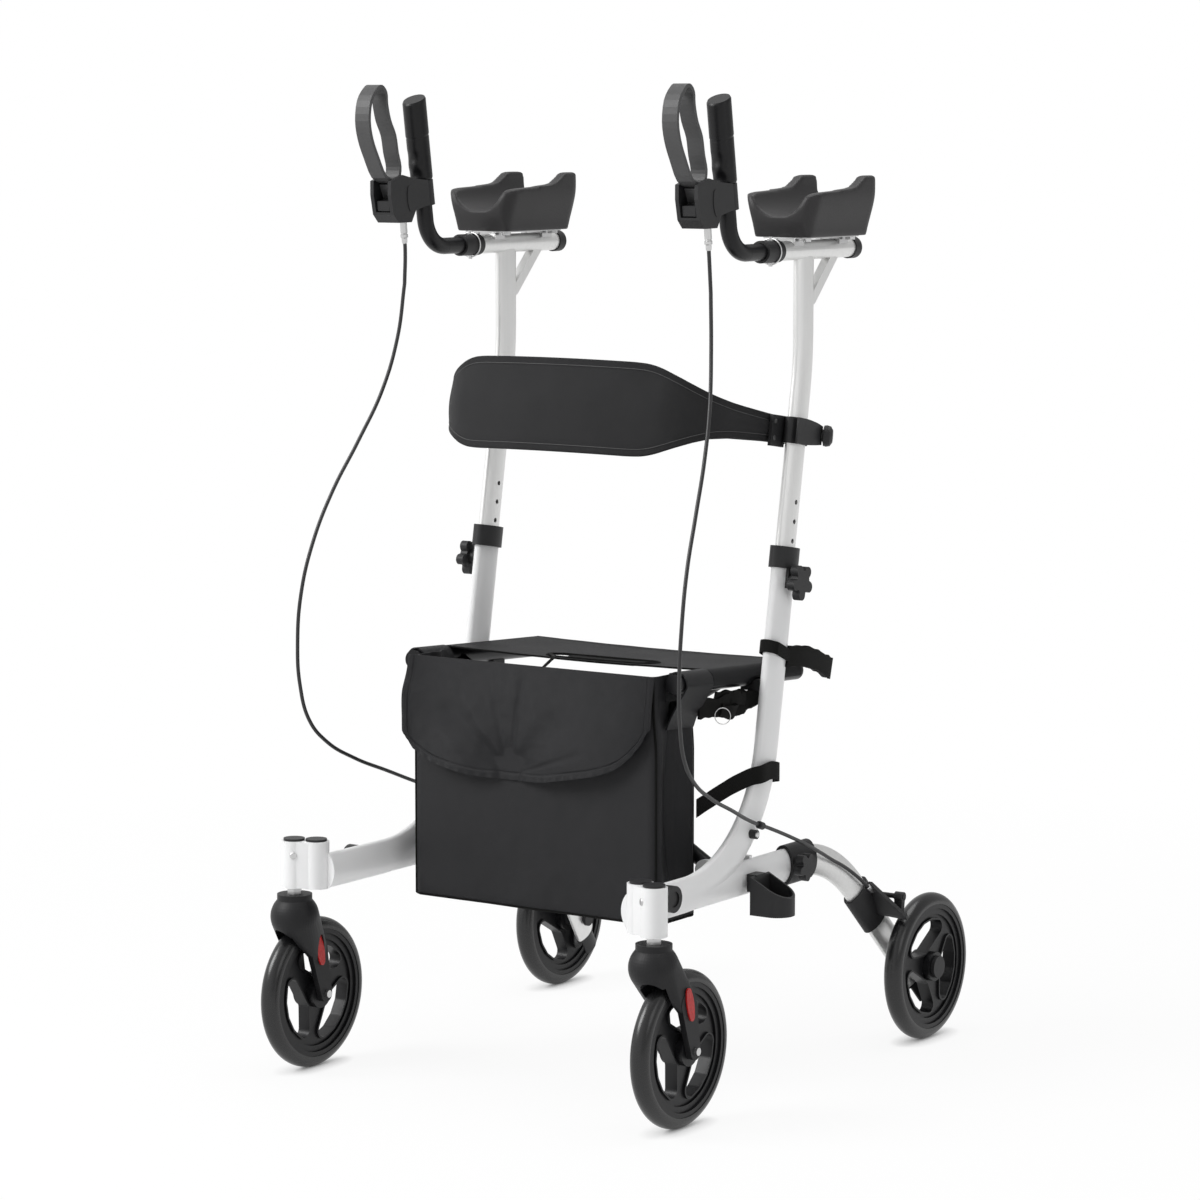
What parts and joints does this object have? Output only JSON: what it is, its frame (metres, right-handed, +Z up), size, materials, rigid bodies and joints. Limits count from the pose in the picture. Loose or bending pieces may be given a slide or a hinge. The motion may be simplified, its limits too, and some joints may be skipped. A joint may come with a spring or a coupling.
{
  "type": "upright walker",
  "caption": "Folding upright rollator with forearm rests, vertical grips, loop brake levers, seat, bag, backrest strap and swivel casters.",
  "frame": {"origin": "on the floor under the middle of the bounding box", "axes": "+Z up, -Y the way the walker travels, +X the user's left"},
  "size_m": [0.6492, 0.796, 1.2892],
  "materials": {
    "white_coat": "gloss powder coat",
    "black_coat": "gloss powder coat",
    "satin_tube": "satin anodised",
    "steel": "zinc plated",
    "black_plastic": "fine texture",
    "wheel_plastic": "semi gloss",
    "tyre": "smooth",
    "pad": "skinned foam",
    "grip": "matt",
    "cable": "smooth sleeve",
    "cloth": "woven nylon",
    "strap": "padded",
    "reflector": "prismatic"
  },
  "bodies": {
    "left_frame": {"left_side_frame": "white_coat", "left_frame_trim": "black_plastic", "left_seat_cradle": "black_plastic", "left_rear_leg": "satin_tube", "left_brake_guard": "black_plastic", "left_rear_axle": "black_plastic", "left_brake_cable": "cable", "cane_cup": "black_plastic", "tie_strap": "cloth"},
    "right_frame": {"right_side_frame": "white_coat", "right_frame_trim": "black_plastic", "right_seat_cradle": "black_plastic", "right_rear_leg": "satin_tube", "right_brake_guard": "black_plastic", "right_rear_axle": "black_plastic", "right_brake_cable": "cable"},
    "left_seat": {"left_seat_frame": "black_coat", "seat_sling": "cloth"},
    "right_seat": {"right_seat_frame": "black_coat"},
    "bag": {"bag": "cloth"},
    "flap": {"bag_flap": "cloth"},
    "left_upper": {"left_upper_post": "satin_tube", "left_post_trim": "black_plastic", "left_arm_bracket": "steel", "left_arm_pad": "pad", "left_snap_pin": "steel", "backrest_strap": "strap"},
    "left_handle": {"left_handle_tube": "black_coat", "left_hand_grip": "grip", "left_brake_housing": "black_plastic"},
    "left_lever": {"left_brake_lever": "black_plastic"},
    "left_shoe": {"left_brake_shoe": "black_plastic"},
    "left_fork": {"left_caster_fork": "black_plastic", "left_caster_pins": "steel", "left_reflectors": "reflector"},
    "left_caster": {"left_caster_rim": "wheel_plastic", "left_caster_tyre": "tyre"},
    "left_wheel": {"left_rear_rim": "wheel_plastic", "left_rear_tyre": "tyre"},
    "left_post_clamp": {"left_post_knob": "black_plastic"},
    "left_leg_clamp": {"left_rear_knob": "black_plastic"},
    "right_upper": {"right_upper_post": "satin_tube", "right_post_trim": "black_plastic", "right_arm_bracket": "steel", "right_arm_pad": "pad", "right_snap_pin": "steel"},
    "right_handle": {"right_handle_tube": "black_coat", "right_hand_grip": "grip", "right_brake_housing": "black_plastic"},
    "right_lever": {"right_brake_lever": "black_plastic"},
    "right_shoe": {"right_brake_shoe": "black_plastic"},
    "right_fork": {"right_caster_fork": "black_plastic", "right_caster_pins": "steel", "right_reflectors": "reflector"},
    "right_caster": {"right_caster_rim": "wheel_plastic", "right_caster_tyre": "tyre"},
    "right_wheel": {"right_rear_rim": "wheel_plastic", "right_rear_tyre": "tyre"},
    "right_post_clamp": {"right_post_knob": "black_plastic"},
    "right_leg_clamp": {"right_rear_knob": "black_plastic"}
  },
  "joints": [
    {"name": "fold", "type": "hinge", "parent": "left_frame", "child": "right_seat", "pos_m": [0.203, -0.076, 0.285], "axis": [0, 1, 0], "range_deg": [0, 38], "deforming": ["bag", "bag_flap", "seat_sling", "backrest_strap"]},
    {"name": "scissor", "type": "hinge", "parent": "right_seat", "child": "left_seat", "pos_m": [0, -0.076, 0.40695], "axis": [0, 1, 0], "range_deg": [-76, 0], "deforming": ["bag", "bag_flap", "seat_sling", "backrest_strap"]},
    {"name": "right_fold", "type": "hinge", "parent": "left_seat", "child": "right_frame", "pos_m": [-0.203, -0.076, 0.285], "axis": [0, 1, 0], "range_deg": [0, 38], "deforming": ["bag", "bag_flap", "seat_sling", "backrest_strap"]},
    {"name": "bag_lift", "type": "slide", "parent": "left_frame", "child": "bag", "axis": [0, 0, 1], "range_m": [0, 0.19998], "deforming": ["bag", "bag_flap"]},
    {"name": "flap_lift", "type": "hinge", "parent": "bag", "child": "flap", "pos_m": [0, -0.2034, 0.546], "axis": [-1, 0, 0], "range_deg": [0, 150]},
    {"name": "left_height", "type": "slide", "parent": "left_frame", "child": "left_upper", "axis": [0, 0.1736, 0.9848], "range_m": [-0.0762, 0.0762], "deforming": ["left_brake_cable"]},
    {"name": "left_reach", "type": "slide", "parent": "left_upper", "child": "left_handle", "axis": [0, -1, 0], "range_m": [-0.025, 0.025], "deforming": ["left_brake_cable"]},
    {"name": "left_brake", "type": "hinge", "parent": "left_handle", "child": "left_lever", "pos_m": [0.237, -0.17496, 1.13904], "axis": [-1, 0, 0], "range_deg": [0, 13], "stiffness_Nm_per_rad": 8, "springref_deg": -3.44},
    {"name": "left_shoe_press", "type": "hinge", "parent": "left_frame", "child": "left_shoe", "pos_m": [0.303, 0.23619, 0.20478], "axis": [1, 0, 0], "range_deg": [0, 8]},
    {"name": "left_swivel", "type": "hinge", "parent": "left_frame", "child": "left_fork", "pos_m": [0.28112, -0.343, 0.25], "axis": [0, 0, 1], "continuous": true},
    {"name": "left_caster_roll", "type": "hinge", "parent": "left_fork", "child": "left_caster", "pos_m": [0.28912, -0.298, 0.1], "axis": [1, 0, 0], "continuous": true},
    {"name": "left_rear_roll", "type": "hinge", "parent": "left_frame", "child": "left_wheel", "pos_m": [0.303, 0.298, 0.1], "axis": [1, 0, 0], "continuous": true},
    {"name": "left_post_clamp_turn", "type": "hinge", "parent": "left_frame", "child": "left_post_clamp", "pos_m": [0.237, 0.02551, 0.65018], "axis": [1, 0, 0], "range_deg": [0, 720]},
    {"name": "left_leg_clamp_turn", "type": "hinge", "parent": "left_frame", "child": "left_leg_clamp", "pos_m": [0.237, 0.042, 0.273], "axis": [1, 0, 0], "range_deg": [0, 720]},
    {"name": "right_height", "type": "slide", "parent": "right_frame", "child": "right_upper", "axis": [0, 0.1736, 0.9848], "range_m": [-0.0762, 0.0762], "deforming": ["right_brake_cable"]},
    {"name": "right_reach", "type": "slide", "parent": "right_upper", "child": "right_handle", "axis": [0, -1, 0], "range_m": [-0.025, 0.025], "deforming": ["right_brake_cable"]},
    {"name": "right_brake", "type": "hinge", "parent": "right_handle", "child": "right_lever", "pos_m": [-0.237, -0.17496, 1.13904], "axis": [-1, 0, 0], "range_deg": [0, 13], "stiffness_Nm_per_rad": 8, "springref_deg": -3.44},
    {"name": "right_shoe_press", "type": "hinge", "parent": "right_frame", "child": "right_shoe", "pos_m": [-0.303, 0.23619, 0.20478], "axis": [1, 0, 0], "range_deg": [0, 8]},
    {"name": "right_swivel", "type": "hinge", "parent": "right_frame", "child": "right_fork", "pos_m": [-0.28112, -0.343, 0.25], "axis": [0, 0, 1], "continuous": true},
    {"name": "right_caster_roll", "type": "hinge", "parent": "right_fork", "child": "right_caster", "pos_m": [-0.28912, -0.298, 0.1], "axis": [1, 0, 0], "continuous": true},
    {"name": "right_rear_roll", "type": "hinge", "parent": "right_frame", "child": "right_wheel", "pos_m": [-0.303, 0.298, 0.1], "axis": [1, 0, 0], "continuous": true},
    {"name": "right_post_clamp_turn", "type": "hinge", "parent": "right_frame", "child": "right_post_clamp", "pos_m": [-0.237, 0.02551, 0.65018], "axis": [-1, 0, 0], "range_deg": [0, 720]},
    {"name": "right_leg_clamp_turn", "type": "hinge", "parent": "right_frame", "child": "right_leg_clamp", "pos_m": [-0.237, 0.042, 0.273], "axis": [-1, 0, 0], "range_deg": [0, 720]}
  ],
  "couplings": [
    {"joint": "scissor", "follows": "fold", "ratio": -2},
    {"joint": "right_fold", "follows": "fold", "ratio": 1},
    {"joint": "bag_lift", "follows": "fold", "m_per_rad": 0.30077},
    {"joint": "right_height", "follows": "left_height", "ratio": 1},
    {"joint": "left_shoe_press", "follows": "left_brake", "ratio": 0.5},
    {"joint": "right_shoe_press", "follows": "right_brake", "ratio": 0.5}
  ]
}
